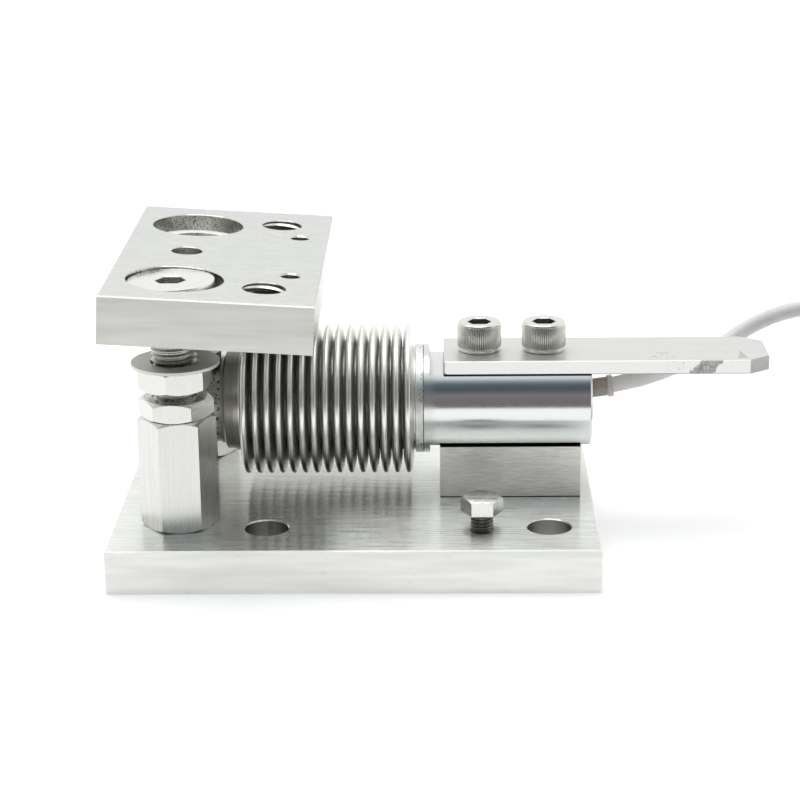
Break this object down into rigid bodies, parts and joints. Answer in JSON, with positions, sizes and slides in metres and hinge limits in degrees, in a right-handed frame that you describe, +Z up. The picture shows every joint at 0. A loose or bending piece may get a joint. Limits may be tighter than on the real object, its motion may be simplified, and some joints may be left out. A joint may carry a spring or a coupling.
{
  "type": "weighing module",
  "caption": "Bellows-sealed beam load cell clamped on a thick base plate; its free end carries a rocking load plate on a ball pin, with stay screw, ground bolt, flat bar and cable lead.",
  "frame": {"origin": "centre of the base plate's underside", "axes": "+X along the load cell from its load end to its clamped end, -Y towards the front with the stay screw, +Z up"},
  "size_m": [0.361, 0.137, 0.1071],
  "materials": {
    "ground_steel_plate": "satin, ground along X",
    "ground_steel_block": "darker ground finish with light scratches",
    "turned_stainless": "fine turned, near polished",
    "welded_stainless": "turned, tarnished and pitted by its weld",
    "formed_stainless": "bright, as formed",
    "rolled_steel_bar": "bright satin with worn patches",
    "stainless_fastener": "bright",
    "zinc_plated_steel": "matt plated",
    "drawn_steel_hexagon": "bright drawn, fine lengthwise grain",
    "gauge_foil": "thin foil on a carrier",
    "circuit_board": "green board",
    "wire_insulation": "white insulation",
    "seal_plug": "cast seal",
    "strain_relief": "grey moulded",
    "cable_jacket": "light grey jacket",
    "tie_plastic": "black tie",
    "red_insulation": "red insulation",
    "black_insulation": "black insulation",
    "green_insulation": "green insulation"
  },
  "bodies": {
    "module": {"base_plate": "ground_steel_plate", "bellows": "formed_stainless", "black_core": "black_insulation", "cable": "cable_jacket", "cable_coil": "cable_jacket", "cable_sleeve": "strain_relief", "cable_tail": "cable_jacket", "cavity_plug": "seal_plug", "clamp_bar": "rolled_steel_bar", "clamp_end_ring": "welded_stainless", "clamp_screws": "stainless_fastener", "coil_tie": "tie_plastic", "front_standoff": "drawn_steel_hexagon", "gauge_wires": "wire_insulation", "green_core": "green_insulation", "ground_bolt": "zinc_plated_steel", "lead_cores": "wire_insulation", "load_cell_body": "turned_stainless", "load_end_ring": "welded_stainless", "load_pin": "turned_stainless", "lower_jam_nut": "stainless_fastener", "rear_standoff": "drawn_steel_hexagon", "red_core": "red_insulation", "spacer_block": "ground_steel_block", "standoff_screws": "stainless_fastener", "stay_screw": "stainless_fastener", "stay_washer": "zinc_plated_steel", "strain_gauges": "gauge_foil", "terminal_board": "circuit_board", "upper_jam_nut": "stainless_fastener", "white_core": "wire_insulation"},
    "load_plate": {"top_plate": "ground_steel_plate"}
  },
  "joints": [
    {"name": "top_plate_rock", "type": "hinge", "parent": "module", "child": "load_plate", "pos_m": [-0.0624, 0, 0.0823], "axis": [0, 1, 0], "range_deg": [-7, 0]}
  ]
}
